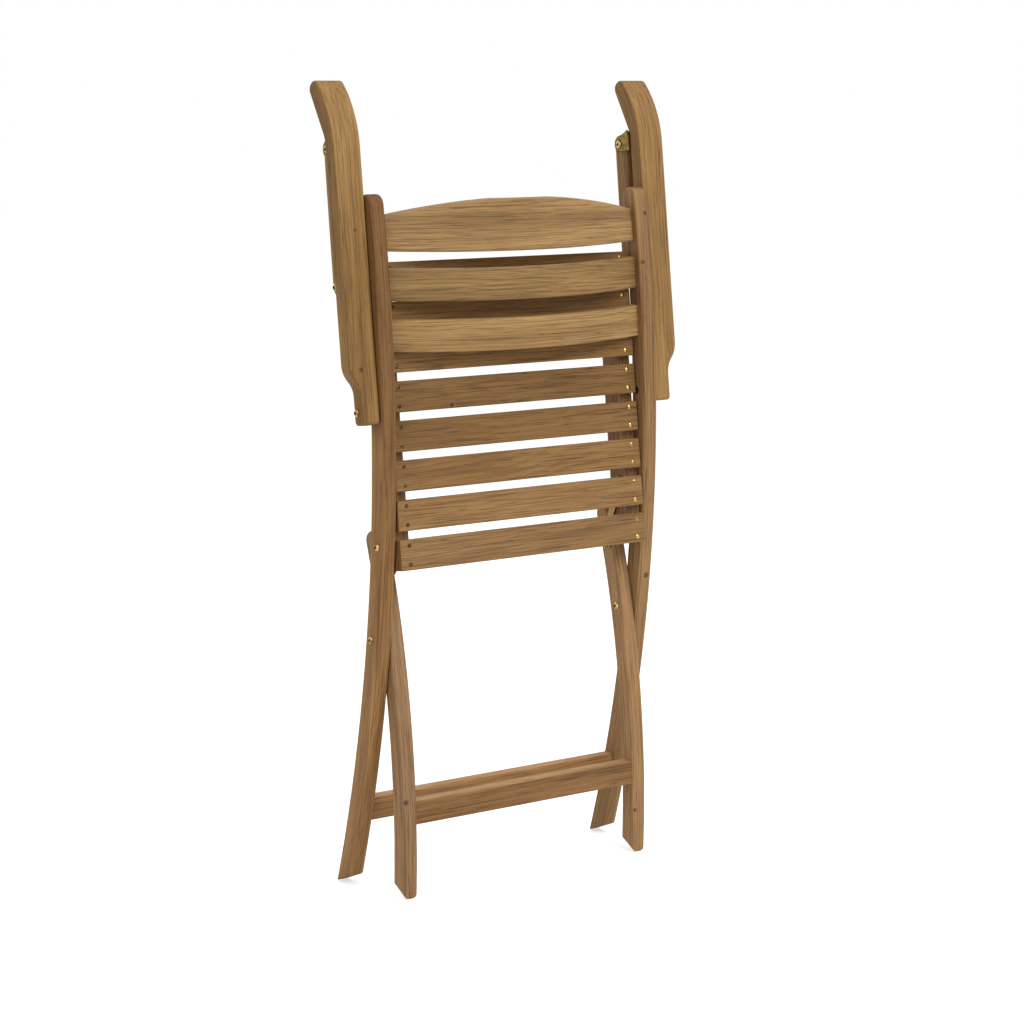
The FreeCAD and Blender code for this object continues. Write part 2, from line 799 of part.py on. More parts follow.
def bracket(label, side):
    """A folded brass plate under an arm, with an ear on each side of the post."""
    body = make_body(label, side * named("post_offset"), *arm_pivot, seat_tilt)
    inside = post_half_gap()
    tail = named("bracket_tail")
    ear = named("bracket_ear_radius")
    lift = named("bracket_ear_lift")
    middle = head_behind + named("bracket_ear_inset")
    corner = middle - root(ear * ear - tail * tail)
    belly_slope = named("arm_belly_slope")
    bend_rise = named("arm_belly_radius") * (1 - cosine(belly_slope))
    past_bend = head_up + named("bracket_root") - arm_belly_start
    past_bend = past_bend - named("arm_belly_radius") * sine(belly_slope)
    root_drop = bend_rise + past_bend * sine(belly_slope) / cosine(belly_slope)
    outline = Outline(body, "YZ_Plane", "outline")
    outline.path(
        (arm_foot, head_up - tail),
        (corner, head_up - tail),
        (middle + ear * cosine(lift), head_up + ear * sine(lift), ear, "right"),
        (arm_foot - root_drop, head_up + named("bracket_root"), named("bracket_sweep_radius")),
        (arm_foot, arm_belly_start),
    )
    pad(body, outline, 2 * (inside + named("bracket_thickness")))
    slot = Outline(body, "XY_Plane", "slot_outline")
    slot.box(-inside, head_behind - 2 * ear, inside, arm_foot - named("bracket_flange"))
    pocket(body, slot, "slot")
    bore_across(body, (head_behind, head_up), bore, "bolt_bore")
    holes = Outline(body, "XZ_Plane", "screw_circles")
    heads = Outline(body, "XZ_Plane", "head_circles")
    for up in bracket_screws_up:
        holes.circle(0, up, screw_hole)
        heads.circle(0, up, head_hole)
    pocket_from = arm_foot - named("bracket_flange")
    sink(body, holes, pocket_from, named("bracket_flange"), "screw_holes", upwards=True)
    sink(body, heads, pocket_from, named("bracket_screw_head"), "head_holes", upwards=True)
    return body


def post_half_gap():
    return named("post_width") / 2 + named("bracket_side_gap")


def stay(label, side):
    """A flat bar that links a seat rail to a rear leg, with a wide eye round the pin of the leg."""
    offset = named("rail_inner_offset") - named("stay_gap") - named("stay_thickness") / 2
    body = make_body(label, side * offset, *stay_leg_pin, -stay_tilt)
    half = named("stay_width") / 2
    top = stay_reach + named("stay_head_margin")
    eye = pin_hole / 2 + named("stay_eye_play")
    middle = named("stay_eye_offset")
    rim = eye + named("stay_eye_wall")
    shoulder = root(rim * rim - (half - middle) * (half - middle))
    zero = Size(0, "0")
    outline = Outline(body, "YZ_Plane", "outline")
    outline.path(
        (half, top),
        (-half, top),
        (middle - rim, zero),
        (middle, -rim, rim),
        (middle + rim, zero, rim),
        (half, shoulder, rim),
    )
    pad(body, outline, named("stay_thickness"))
    bore_across(body, (middle, zero), 2 * eye, "leg_eye")
    bore_across(body, (zero, stay_reach), pin_hole, "rail_bore")
    return body


def dome_radius(radius, height):
    return (radius * radius + height * height) / (2 * height)


def socket(body, x, outwards):
    """Sink the hexagonal socket of a key into a domed head."""
    outline = Outline(body, "YZ_Plane", "socket_in" if not outwards else "socket_out")
    outline.sketch.AttachmentOffset = Placement(Vector(0, 0, x.value), Rotation())
    outline.sketch.setExpression("AttachmentOffset.Base.z", x.text)
    across_corners = named("bolt_socket") / cosine(Size(30, "30"))
    corners = []
    for turn in range(0, 360, 60):
        angle = Size(turn, f"({turn})")
        corners.append((across_corners / 2 * cosine(angle), across_corners / 2 * sine(angle)))
    outline.path(*corners)
    feature = body.newObject("PartDesign::Pocket", outline.sketch.Name + "_cut")
    feature.Profile = outline.sketch
    feature.Length = named("bolt_socket_depth").value
    feature.setExpression("Length", named("bolt_socket_depth").text)
    feature.Reversed = not outwards
    doc.recompute()


def bolt(label, side, place, inner, outer, flush=False):
    """A brass bolt across the chair from an inner to an outer face, with a domed head at each end.
    A flush bolt ends in a plain barrel nut that stands inside the inner face."""
    body = make_body(label, 0, *place)
    if side < 0:
        body.Placement = Placement(body.Placement.Base, Rotation(Vector(0, 0, 1), 180))
    shank = named("bolt_shank") / 2
    head = named("bolt_head") / 2
    height = named("bolt_head_height")
    rim = named("bolt_rim")
    zero = Size(0, "0")
    curve = dome_radius(head, height - rim)
    if flush:
        start = [(inner, zero), (outer + height, zero)]
        finish = [(inner + height, head), (inner, head)]
        neck = inner + height
    else:
        start = [(inner - height, zero), (outer + height, zero)]
        finish = [(inner, head), (inner - rim, head)]
        neck = inner
    outline = Outline(body, "XY_Plane", "outline")
    first = start[0] if flush else (*start[0], curve)
    outline.path(
        first,
        start[1],
        (outer + rim, head, curve),
        (outer, head),
        (outer, shank),
        (neck, shank),
        *finish,
    )
    revolve(body, outline, "turning")
    socket(body, outer + height, outwards=True)
    if not flush:
        socket(body, inner - height, outwards=False)
    return body


def stay_pin(label, side, place, head_size):
    """A pin driven into the wood, with a domed head on the inner side of a stay."""
    body = make_body(label, 0, *place)
    if side < 0:
        body.Placement = Placement(body.Placement.Base, Rotation(Vector(0, 0, 1), 180))
    shank = named("stay_pin") / 2
    head = head_size / 2
    under_head = named("rail_inner_offset") - 2 * named("stay_gap") - named("stay_thickness")
    tip = named("rail_inner_offset") + named("stay_pin_depth")
    height = named("stay_pin_head_height")
    zero = Size(0, "0")
    outline = Outline(body, "XY_Plane", "outline")
    outline.path(
        (tip, zero),
        (tip, shank),
        (under_head, shank),
        (under_head, head),
        (under_head - height, zero, dome_radius(head, height)),
    )
    revolve(body, outline, "turning")
    return body


def ring(label, side, place, start, finish, size):
    """A washer or sleeve round a bolt, between two faces."""
    thickness = finish - start
    pieces = []
    for name, radius in (("rim", size / 2), ("eye", bore / 2)):
        drum = doc.addObject("Part::Cylinder", f"{label}_{name}")
        drum.setExpression("Radius", radius.text)
        drum.setExpression("Height", thickness.text)
        pieces.append(drum)
    whole = doc.addObject("Part::Cut", label)
    whole.Base, whole.Tool = pieces
    low = start if side > 0 else -finish
    whole.Placement = Placement(
        Vector(low.value, place[0].value, place[1].value), Rotation(Vector(0, 1, 0), 90)
    )
    whole.setExpression("Placement.Base.x", low.text)
    whole.setExpression("Placement.Base.y", place[0].text)
    whole.setExpression("Placement.Base.z", place[1].text)
    return whole


def group(label, members):
    """Separate like fasteners that share one node."""
    compound = doc.addObject("Part::Compound", label)
    compound.Label = label
    compound.Links = members
    return compound


def screw(label, length, head_height):
    """A round-headed wood screw along +X, its point at the origin."""
    body = make_body(label)
    shank = named("screw_shank") / 2
    head = named("screw_head") / 2
    dome = named("screw_dome")
    neck = length - head_height
    zero = Size(0, "0")
    outline = Outline(body, "XY_Plane", "outline")
    outline.path(
        (zero, zero),
        (length + dome, zero),
        (length, head, dome_radius(head, dome)),
        (neck, head),
        (neck, shank),
        (named("screw_point"), shank),
    )
    revolve(body, outline, "turning")
    return body


def screw_group(label, pattern, length, heads, direction):
    """Copies of a screw driven against a direction, each with its head at a place."""
    shape = pattern.Shape
    turn = Rotation(Vector(1, 0, 0), direction)
    copies = []
    for head in heads:
        copy = shape.copy()
        copy.Placement = Placement(head - direction * length.value, turn)
        copies.append(copy)
    feature = doc.addObject("Part::Feature", label)
    feature.Label = label
    feature.Shape = Part.makeCompound(copies)
    return feature


def both(name, make, *rest):
    return [make(f"{name}_left", 1, *rest), make(f"{name}_right", -1, *rest)]


# The back frame
nodes = []
nodes += both("stile", stile)
top = named("stile_top_height")
crown = named("top_rail_crown")
nodes.append(back_slat("top_rail", top - named("top_rail_drop"), named("top_rail_width"), crown))
nodes.append(back_slat("back_slat_upper", top - named("upper_slat_drop"), named("upper_slat_width")))
nodes.append(back_slat("back_slat_lower", top - named("lower_slat_drop"), named("lower_slat_width")))
nodes.append(
    stretcher(
        "front_stretcher",
        named("front_stretcher_depth"),
        named("front_stretcher_height"),
        named("front_stretcher_thickness"),
        named("front_stretcher_width"),
        stile_inner,
    )
)
rubbing = named("rubbing_gap")
rail_inner = named("rail_inner_offset")
washer = named("washer_size")
neck_outer = arm_inner + named("arm_neck_width")
bolt_start = rail_inner - rubbing
leg_side = leg_outer + rubbing
rail_side = rail_outer + rubbing
arm_side = arm_inner - rubbing
nodes.append(group("cross_bolts", both("cross_bolt", bolt, cross_pivot, bolt_start, stile_outer)))
nodes.append(group("seat_bolts", both("seat_bolt", bolt, seat_pivot, bolt_start, stile_outer)))
nodes.append(group("arm_bolts", both("arm_bolt", bolt, arm_pivot, stile_inner, neck_outer + rubbing, True)))
nodes.append(group("cross_washers", both("cross_washer", ring, cross_pivot, leg_side, stile_inner, washer)))
nodes.append(group("seat_washers", both("seat_washer", ring, seat_pivot, rail_side, stile_inner, washer)))
nodes.append(group("arm_washers", both("arm_washer", ring, arm_pivot, stile_outer, arm_side, washer)))

# The rear legs
nodes += both("rear_leg", rear_leg)
nodes.append(
    stretcher(
        "rear_stretcher",
        named("rear_stretcher_depth"),
        named("rear_stretcher_height"),
        named("rear_stretcher_thickness"),
        named("rear_stretcher_width"),
        rail_inner,
    )
)
leg_pin_head = named("stay_leg_pin_head")
nodes.append(group("stay_leg_pins", both("stay_leg_pin", stay_pin, stay_leg_pin, leg_pin_head)))

# The seat
nodes += both("seat_rail", seat_rail)
for index in range(int(named("seat_slat_count").value)):
    nodes.append(seat_slat(f"seat_slat_{index + 1}", index))
rail_pin_head = named("stay_rail_pin_head")
nodes.append(group("stay_rail_pins", both("stay_rail_pin", stay_pin, stay_rail_pin, rail_pin_head)))
nodes += both("stay", stay)
post_side = post_outer + rubbing
nodes.append(group("post_foot_bolts", both("post_foot_bolt", bolt, post_foot, rail_inner, post_side)))
sleeve = named("post_sleeve_size")
sleeve_end = post_inner - rubbing
nodes.append(group("post_sleeves", both("post_sleeve", ring, post_foot, rail_outer, sleeve_end, sleeve)))

# The arms and their posts
nodes += both("post", post)
nodes += both("arm", arm)
nodes += both("arm_bracket", bracket)
ear_inner = named("post_offset") - post_half_gap() - named("bracket_thickness")
ear_outer = named("post_offset") + post_half_gap() + named("bracket_thickness")
nodes += both("post_head_bolt", bolt, post_head, ear_inner, ear_outer)

# The screws
# Seat screws that stand over a bolt of the rail are short ones
rail_bolts_up = (Size(0, "0"), named("stay_rail_reach"))
behind = Vector(0, math.cos(math.radians(seat_tilt.value)), math.sin(math.radians(seat_tilt.value)))
long_heads = []
short_heads = []
for index in range(int(named("seat_slat_count").value)):
    for row in screw_rows:
        up = seat_rear + index * named("seat_slat_pitch") + row
        depth, height = placed(seat_tilt, seat_pivot, up, slat_face)
        over_bolt = any(abs(up.value - bolt_up.value) < named("bolt_head").value for bolt_up in rail_bolts_up)
        for side in (1, -1):
            head = Vector(side * named("screw_offset").value, depth.value, height.value)
            (short_heads if over_bolt else long_heads).append(head)
for name, length, heads in (
    ("seat_screws", named("screw_length"), long_heads),
    ("seat_screws_short", named("short_screw_length"), short_heads),
):
    pattern = screw(name + "_pattern", length, named("screw_head_height"))
    nodes.append(screw_group(name, pattern, length, heads, behind))
bracket_screw = screw("bracket_screw", named("bracket_screw_length"), named("bracket_screw_head"))
for name, side in (("left", 1), ("right", -1)):
    heads = []
    for up in bracket_screws_up:
        depth, height = placed(seat_tilt, arm_pivot, up, arm_foot - named("bracket_flange"))
        heads.append(Vector(side * named("post_offset").value, depth.value, height.value))
    length = named("bracket_screw_length")
    nodes.append(screw_group(f"bracket_screws_{name}", bracket_screw, length, heads, -behind))

doc.recompute()

# Every object has to be sound, and every cut has to take material away
for item in doc.Objects:
    if "Invalid" in item.State or "Error" in item.State:
        raise RuntimeError(f"{item.Name} failed: {item.State}")
    if item.TypeId == "PartDesign::Pocket":
        if item.Shape.Volume > item.BaseFeature.Shape.Volume - TINY:
            raise RuntimeError(f"{item.Name} cuts nothing")
for node in nodes:
    if node.Shape.isNull() or not node.Shape.isValid():
        raise RuntimeError(f"{node.Label} has no valid shape")

os.makedirs("parts", exist_ok=True)
for node in nodes:
    node.Shape.exportStep(f"parts/{node.Label}.step")
print(len(nodes), "nodes written")
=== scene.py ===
import math

import bpy
from mathutils import Matrix, Vector

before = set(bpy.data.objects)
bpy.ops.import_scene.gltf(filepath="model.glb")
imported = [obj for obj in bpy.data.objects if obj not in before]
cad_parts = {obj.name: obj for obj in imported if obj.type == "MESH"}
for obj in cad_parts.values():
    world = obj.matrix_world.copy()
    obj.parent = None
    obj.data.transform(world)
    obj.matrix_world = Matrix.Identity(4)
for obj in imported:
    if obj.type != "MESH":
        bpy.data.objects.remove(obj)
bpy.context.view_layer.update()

scene = bpy.context.scene


def add(tree, kind, **values):
    """Add a node. Keys that name an input set that input, and other keys set a property."""
    node = tree.nodes.new(kind)
    for key, value in values.items():
        name = key.replace("_", " ")
        if name in node.inputs:
            node.inputs[name].default_value = value
        else:
            setattr(node, key, value)
    return node


def math_node(tree, operation, first, second=None, clamp=False):
    """Add a maths node. Each value is a number or a socket."""
    node = add(tree, "ShaderNodeMath", operation=operation, use_clamp=clamp)
    for index, value in enumerate((first, second)):
        if value is None:
            continue
        if isinstance(value, (int, float)):
            node.inputs[index].default_value = value
        else:
            tree.links.new(value, node.inputs[index])
    return node.outputs[0]


def product(tree, first, second):
    return math_node(tree, "MULTIPLY", first, second)


def mixed(tree, factor, first, second, blend="MIX"):
    """Blend two colours. Each value is a number, a colour or a socket."""
    node = add(tree, "ShaderNodeMix", data_type="RGBA", blend_type=blend)
    factor_socket, first_socket, second_socket = node.inputs[0], node.inputs[6], node.inputs[7]
    for socket, value in ((factor_socket, factor), (first_socket, first), (second_socket, second)):
        if isinstance(value, (int, float)):
            socket.default_value = value
        elif isinstance(value, tuple):
            socket.default_value = (*value, 1)
        else:
            tree.links.new(value, socket)
    return node.outputs[2]


def ramp(tree, value, low, high):
    """Map a value from low..high to 0..1, smoothly."""
    node = add(tree, "ShaderNodeMapRange", interpolation_type="SMOOTHSTEP")
    node.inputs["From Min"].default_value = low
    node.inputs["From Max"].default_value = high
    tree.links.new(value, node.inputs["Value"])
    return node.outputs["Result"]


def noise(tree, vector, scale, stretch=(1, 1, 1), detail=2, roughness=0.5):
    """Noise of a scale per metre, stretched along each axis."""
    mapping = add(tree, "ShaderNodeMapping", Scale=[scale * part for part in stretch])
    tree.links.new(vector, mapping.inputs["Vector"])
    node = add(tree, "ShaderNodeTexNoise", Scale=1, Detail=detail, Roughness=roughness)
    tree.links.new(mapping.outputs[0], node.inputs["Vector"])
    return node.outputs["Fac"]


def split(tree, vector):
    """The X, Y and Z of a vector."""
    parts = tree.nodes.new("ShaderNodeSeparateXYZ")
    tree.links.new(vector, parts.inputs[0])
    return parts.outputs


def srgb(red, green, blue):
    """Linear colour of an 8-bit screen colour."""
    def linear(part):
        part = part / 255
        return part / 12.92 if part <= 0.04045 else ((part + 0.055) / 1.055) ** 2.4
    return linear(red), linear(green), linear(blue)


def worn_edges(tree, radius, low, high):
    """1 along the eased edges of a piece and 0 on its flat faces."""
    soft = add(tree, "ShaderNodeBevel", samples=4, Radius=radius)
    surface = tree.nodes.new("ShaderNodeNewGeometry")
    dot = add(tree, "ShaderNodeVectorMath", operation="DOT_PRODUCT")
    tree.links.new(soft.outputs[0], dot.inputs[0])
    tree.links.new(surface.outputs["True Normal"], dot.inputs[1])
    return ramp(tree, math_node(tree, "SUBTRACT", 1.0, dot.outputs["Value"]), low, high)


def new_material(name):
    """An empty material, its node tree and its output socket."""
    material = bpy.data.materials.new(name)
    material.use_nodes = True
    tree = material.node_tree
    tree.nodes.clear()
    output = tree.nodes.new("ShaderNodeOutputMaterial")
    return material, tree, output.inputs["Surface"]


# Teak colours, and the tint of painted shade that darkens them
PALE = srgb(170, 131, 83)
GOLD = srgb(152, 113, 69)
BROWN = srgb(105, 72, 42)
UMBER = srgb(70, 44, 24)
SHADED = (0.50, 0.44, 0.40)

# Noises of the teak: scale per metre, stretch along the grain, detail and roughness
TEAK_NOISES = {
    "sway": (3.2, 0.55, 2, 0.5),
    "wave": (14.0, 0.14, 2, 0.5),
    "ripple": (60.0, 0.10, 2, 0.5),
    "uneven": (7.0, 0.3, 2, 0.5),
    "strength": (17.0, 0.16, 2, 0.5),
    "band": (24.0, 0.07, 3, 0.55),
    "cloud": (8.0, 0.30, 3, 0.5),
    "streak": (470.0, 0.011, 2, 0.60),
    "thread": (700.0, 0.012, 1, 0.5),
    "pore": (800.0, 0.030, 1, 0.5),
    "fine_pore": (1500.0, 0.014, 0, 0.5),
}
# Values between which each noise comes to show
TEAK_LEVELS = {
    "strength": (0.36, 0.66),
    "band": (0.46, 0.70),
    "cloud": (0.30, 0.70),
    "streak": (0.50, 0.74),
    "thread": (0.52, 0.64),
    "pore": (0.62, 0.76),
    "fine_pore": (0.55, 0.74),
}
# Growth rings: metres by which the noises and a knot move them, and how the late wood ends
RINGS_PER_METRE = 165.0
SWAY_REACH = 0.09
WAVE_REACH = 0.034
RIPPLE_REACH = 0.0030
KNOT_REACH = 0.006
UNEVEN_YEARS = 5.0
LATE_WOOD_POWER = 2.4
LATE_WOOD_FADE = 0.14
LATE_WOOD_PORES = 0.10
# Gloss and relief of the surface
TEAK_SPECULAR = 0.24
TEAK_ROUGHNESS = 0.55
TEAK_RELIEF = 0.0005
TEAK_EDGE = 0.0035
BRASS_RELIEF = 0.0002
BRASS_EDGE = 0.0008
BRASS_HOLLOW = 0.006


def teak_group():
    """Teak in grain space: X runs along the grain, and the growth rings lie round a far axis."""
    group = bpy.data.node_groups.new("teak_figure", "ShaderNodeTree")
    floats = ("Heart Y", "Heart Z", "Tone", "End", "Knot", "Wear", "Shade", "Depth", "Hue")
    group.interface.new_socket("Vector", in_out="INPUT", socket_type="NodeSocketVector")
    for name in floats:
        group.interface.new_socket(name, in_out="INPUT", socket_type="NodeSocketFloat")
    group.interface.new_socket("Color", in_out="OUTPUT", socket_type="NodeSocketColor")
    for name in ("Roughness", "Height"):
        group.interface.new_socket(name, in_out="OUTPUT", socket_type="NodeSocketFloat")
    given = group.nodes.new("NodeGroupInput").outputs
    result = group.nodes.new("NodeGroupOutput").inputs
    grain_place = split(group, given["Vector"])
    fields = {}
    for name, (scale, stretch, detail, roughness) in TEAK_NOISES.items():
        fields[name] = noise(group, given["Vector"], scale, (stretch, 1, 1), detail, roughness)

    def displaced(value, field, reach):
        """A value that a noise moves to and fro."""
        centred = math_node(group, "SUBTRACT", fields[field], 0.5)
        return math_node(group, "ADD", value, product(group, centred, reach))

    def shown(field):
        """How far a noise shows, from 0 to 1."""
        return ramp(group, fields[field], *TEAK_LEVELS[field])

    # Growth rings: uneven years, drawn out by a slow sway of the trunk
    across = math_node(group, "ADD", grain_place["Y"], given["Heart Y"])
    across = displaced(across, "sway", SWAY_REACH)
    deep = math_node(group, "ADD", grain_place["Z"], given["Heart Z"])
    deep = displaced(deep, "wave", WAVE_REACH)
    square = math_node(group, "ADD", product(group, across, across), product(group, deep, deep))
    radius = displaced(math_node(group, "SQRT", square), "ripple", RIPPLE_REACH)
    radius = math_node(group, "ADD", radius, product(group, given["Knot"], KNOT_REACH))
    years = product(group, radius, RINGS_PER_METRE)
    years = math_node(group, "ADD", years, product(group, fields["uneven"], UNEVEN_YEARS))
    ring = math_node(group, "FRACT", years)
    left_of_year = math_node(group, "SUBTRACT", 1.0, ring)
    late = math_node(group, "POWER", ring, LATE_WOOD_POWER)
    late = product(group, late, ramp(group, left_of_year, 0.0, LATE_WOOD_FADE))
    late = product(group, late, shown("strength"))

    # Pores, which are denser in late wood, and the dark middle of each knot
    pore = math_node(group, "ADD", fields["pore"], product(group, late, LATE_WOOD_PORES))
    pores = ramp(group, pore, *TEAK_LEVELS["pore"])
    fine_pores = shown("fine_pore")
    streaks = shown("streak")
    threads = shown("thread")
    knots = ramp(group, given["Knot"], 0.45, 0.95)

    # Colour: each layer covers what lies below it by a share
    colour = mixed(group, shown("cloud"), PALE, GOLD)
    for layer, share, paint in (
        (shown("band"), 0.50, BROWN),
        (late, 0.55, BROWN),
        (streaks, 0.46, BROWN),
        (threads, 0.46, UMBER),
        (pores, 0.62, UMBER),
        (fine_pores, 0.25, UMBER),
        (given["Wear"], 0.30, PALE),
        (given["End"], 0.45, UMBER),
        (knots, 0.80, UMBER),
    ):
        colour = mixed(group, product(group, layer, share), colour, paint)
    # Painted shade: the Shade input multiplies the colour by the shaded tint
    colour = mixed(group, given["Shade"], colour, SHADED, blend="MULTIPLY")
    tone = group.nodes.new("ShaderNodeHueSaturation")
    group.links.new(colour, tone.inputs["Color"])
    group.links.new(given["Tone"], tone.inputs["Value"])
    group.links.new(given["Depth"], tone.inputs["Saturation"])
    group.links.new(given["Hue"], tone.inputs["Hue"])
    group.links.new(tone.outputs[0], result["Color"])

    # Roughness and relief: pores are rough hollows, and rubbed edges are smoother
    rough = TEAK_ROUGHNESS
    for operation, layer, share in (
        ("ADD", pores, 0.16),
        ("ADD", fields["cloud"], 0.14),
        ("SUBTRACT", given["Wear"], 0.08),
    ):
        rough = math_node(group, operation, rough, product(group, layer, share))
    group.links.new(rough, result["Roughness"])
    height = product(group, fields["streak"], 0.4)
    for hollow, share in ((pores, 0.9), (fine_pores, 0.35), (threads, 0.3)):
        height = math_node(group, "SUBTRACT", height, product(group, hollow, share))
    group.links.new(height, result["Height"])
    return group


teak_figure = teak_group()


def straightened(tree, place, bend):
    """Place of a bent piece with its bend taken out, so that the grain follows the piece.
    A bend is the axis that it runs along, where on it the bend starts, the sag in metres at one
    metre from there, and whether the piece bends both ways from there."""
    axis, start, sag_at_metre, both_ways = bend
    parts = split(tree, place)
    away = math_node(tree, "SUBTRACT", parts[axis], start)
    if not both_ways:
        away = math_node(tree, "MAXIMUM", away, 0.0)
    sag = product(tree, product(tree, away, away), sag_at_metre)
    whole = tree.nodes.new("ShaderNodeCombineXYZ")
    tree.links.new(parts["X"], whole.inputs["X"])
    tree.links.new(math_node(tree, "ADD", parts["Y"], sag), whole.inputs["Y"])
    tree.links.new(parts["Z"], whole.inputs["Z"])
    return whole.outputs[0]


def knot_mask(tree, place, knots):
    """1 at the middle of each knot, and 0 from four of its radii. A knot is a place in the
    frame and a radius."""
    mask = None
    for centre, radius in knots:
        reach = 4 * radius
        away = add(tree, "ShaderNodeVectorMath", operation="DISTANCE")
        away.inputs[1].default_value = centre
        tree.links.new(place, away.inputs[0])
        near = ramp(tree, math_node(tree, "SUBTRACT", reach, away.outputs["Value"]), 0.0, reach)
        mask = near if mask is None else math_node(tree, "MAXIMUM", mask, near)
    return mask


def painted_wood_shade(tree, place, normal, flank, rise):
    """How far painted shade darkens a piece. Rise gives two heights between which the painted
    shade grows, and by what share. Flank gives an axis and a share for the faces that look along
    it, and two heights if it only starts there. A noise makes the heights ragged."""
    ragged = product(tree, noise(tree, place, 30.0, (1, 1, 0.15)), 0.12)
    height = math_node(tree, "ADD", split(tree, place)["Z"], ragged)
    shade = 0.0
    if rise:
        low, high, share = rise
        shade = product(tree, ramp(tree, height, low, high), share)
    if flank:
        axis, share, span = flank
        turned = ramp(tree, math_node(tree, "ABSOLUTE", split(tree, normal)[axis]), 0.55, 0.9)
        dark = product(tree, ramp(tree, height, *span), share) if span else share
        change = product(tree, turned, math_node(tree, "SUBTRACT", dark, shade))
        shade = math_node(tree, "ADD", change, shade)
    return shade


def teak(name, along, facing, shift, heart, tone, depth=1.0, hue=0.5, bend=None, knots=(),
         flank=None, rise=None):
    """Teak for one piece. The grain runs along a direction, and its broad face looks another way.
    Shift and heart place the piece in its log, and tone, depth and hue colour it."""
    material, tree, surface = new_material("teak_" + name)
    x_axis = Vector(along).normalized()
    z_axis = (Vector(facing) - x_axis * x_axis.dot(Vector(facing))).normalized()
    y_axis = z_axis.cross(x_axis)
    turn = Matrix((x_axis, y_axis, z_axis)).to_euler("XYZ")
    coordinates = tree.nodes.new("ShaderNodeTexCoord")
    place = coordinates.outputs["Object"]
    normal = coordinates.outputs["Normal"]
    mapping = add(tree, "ShaderNodeMapping", Rotation=turn, Location=shift)
    spot = straightened(tree, place, bend) if bend else place
    tree.links.new(spot, mapping.inputs["Vector"])
    figure = add(tree, "ShaderNodeGroup", node_tree=teak_figure)
    for socket, value in (("Heart Y", heart[0]), ("Heart Z", heart[1]), ("Tone", tone),
                          ("Depth", depth), ("Hue", hue)):
        figure.inputs[socket].default_value = value
    tree.links.new(mapping.outputs[0], figure.inputs["Vector"])

    grain = add(tree, "ShaderNodeVectorMath", operation="DOT_PRODUCT")
    grain.inputs[1].default_value = x_axis
    tree.links.new(normal, grain.inputs[0])
    cut = math_node(tree, "ABSOLUTE", grain.outputs["Value"])
    tree.links.new(ramp(tree, cut, 0.72, 0.98), figure.inputs["End"])
    if knots:
        tree.links.new(knot_mask(tree, place, knots), figure.inputs["Knot"])
    # Painted shade on the faces and heights that flank and rise pick
    if rise or flank:
        tree.links.new(painted_wood_shade(tree, place, normal, flank, rise), figure.inputs["Shade"])
    rubbed = ramp(tree, noise(tree, place, 60.0, detail=3), 0.35, 0.65)
    wear = product(tree, worn_edges(tree, TEAK_EDGE, 0.02, 0.22), rubbed)
    tree.links.new(wear, figure.inputs["Wear"])

    shader = add(tree, "ShaderNodeBsdfPrincipled", Specular_IOR_Level=TEAK_SPECULAR)
    tree.links.new(figure.outputs["Color"], shader.inputs["Base Color"])
    tree.links.new(figure.outputs["Roughness"], shader.inputs["Roughness"])
    bump = add(tree, "ShaderNodeBump", Strength=0.45, Distance=TEAK_RELIEF)
    tree.links.new(figure.outputs["Height"], bump.inputs["Height"])
    tree.links.new(bump.outputs[0], shader.inputs["Normal"])
    tree.links.new(shader.outputs[0], surface)
    return material


def brass(name, colour, patina_and_shade_tint, roughness, spots, painted_shade_to_left=0.0):
    """Brass with a patchy tarnish, painted shade in its hollows, and painted shade that may grow
    towards the sitter's left."""
    material, tree, surface = new_material(name)
    place = tree.nodes.new("ShaderNodeTexCoord").outputs["Object"]
    patches = noise(tree, place, 140.0, detail=4, roughness=0.65)
    specks = noise(tree, place, 700.0, detail=3, roughness=0.6)
    hollow = add(tree, "ShaderNodeAmbientOcclusion", samples=4, Distance=BRASS_HOLLOW)
    layers = [
        (ramp(tree, specks, 0.50, 0.68), spots * 0.6),
        # Painted shade: darker where the brass is hollow, as in its sockets
        (ramp(tree, hollow.outputs["AO"], 0.97, 0.60), 0.85),
    ]
    # Painted shade: darker towards the sitter's left, where the screws lie in the stile's shadow
    if painted_shade_to_left:
        layers.append((ramp(tree, split(tree, place)["X"], -0.1, 0.1), painted_shade_to_left))
    patina_and_shade = product(tree, ramp(tree, patches, 0.42, 0.70), spots)
    for layer, share in layers:
        patina_and_shade = math_node(tree, "ADD", patina_and_shade, product(tree, layer, share), clamp=True)
    rubbed = product(tree, worn_edges(tree, BRASS_EDGE, 0.02, 0.2), 0.35)
    tint = mixed(tree, rubbed, mixed(tree, patina_and_shade, colour, patina_and_shade_tint), colour)
    shader = add(tree, "ShaderNodeBsdfPrincipled", Metallic=1.0)
    tree.links.new(tint, shader.inputs["Base Color"])
    rough = math_node(tree, "ADD", roughness, product(tree, patina_and_shade, 0.25))
    tree.links.new(rough, shader.inputs["Roughness"])
    bump = add(tree, "ShaderNodeBump", Strength=0.3, Distance=BRASS_RELIEF)
    tree.links.new(noise(tree, place, 1500.0), bump.inputs["Height"])
    tree.links.new(bump.outputs[0], shader.inputs["Normal"])
    tree.links.new(shader.outputs[0], surface)
    return material


def dress(name, material):
    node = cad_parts[name]
    node.data.materials.clear()
    node.data.materials.append(material)


# Directions of the grain and of the broad faces
SEAT_TILT = math.radians(6.64)
POST_LEAN = math.radians(6.2)
UP_SEAT = (0, -math.sin(SEAT_TILT), math.cos(SEAT_TILT))
UP_POST = (0, -math.sin(POST_LEAN), math.cos(POST_LEAN))
UP = (0, 0, 1)
ACROSS = (1, 0, 0)
SIDE = (1, 0, 0)
BACK = (0, 1, 0)

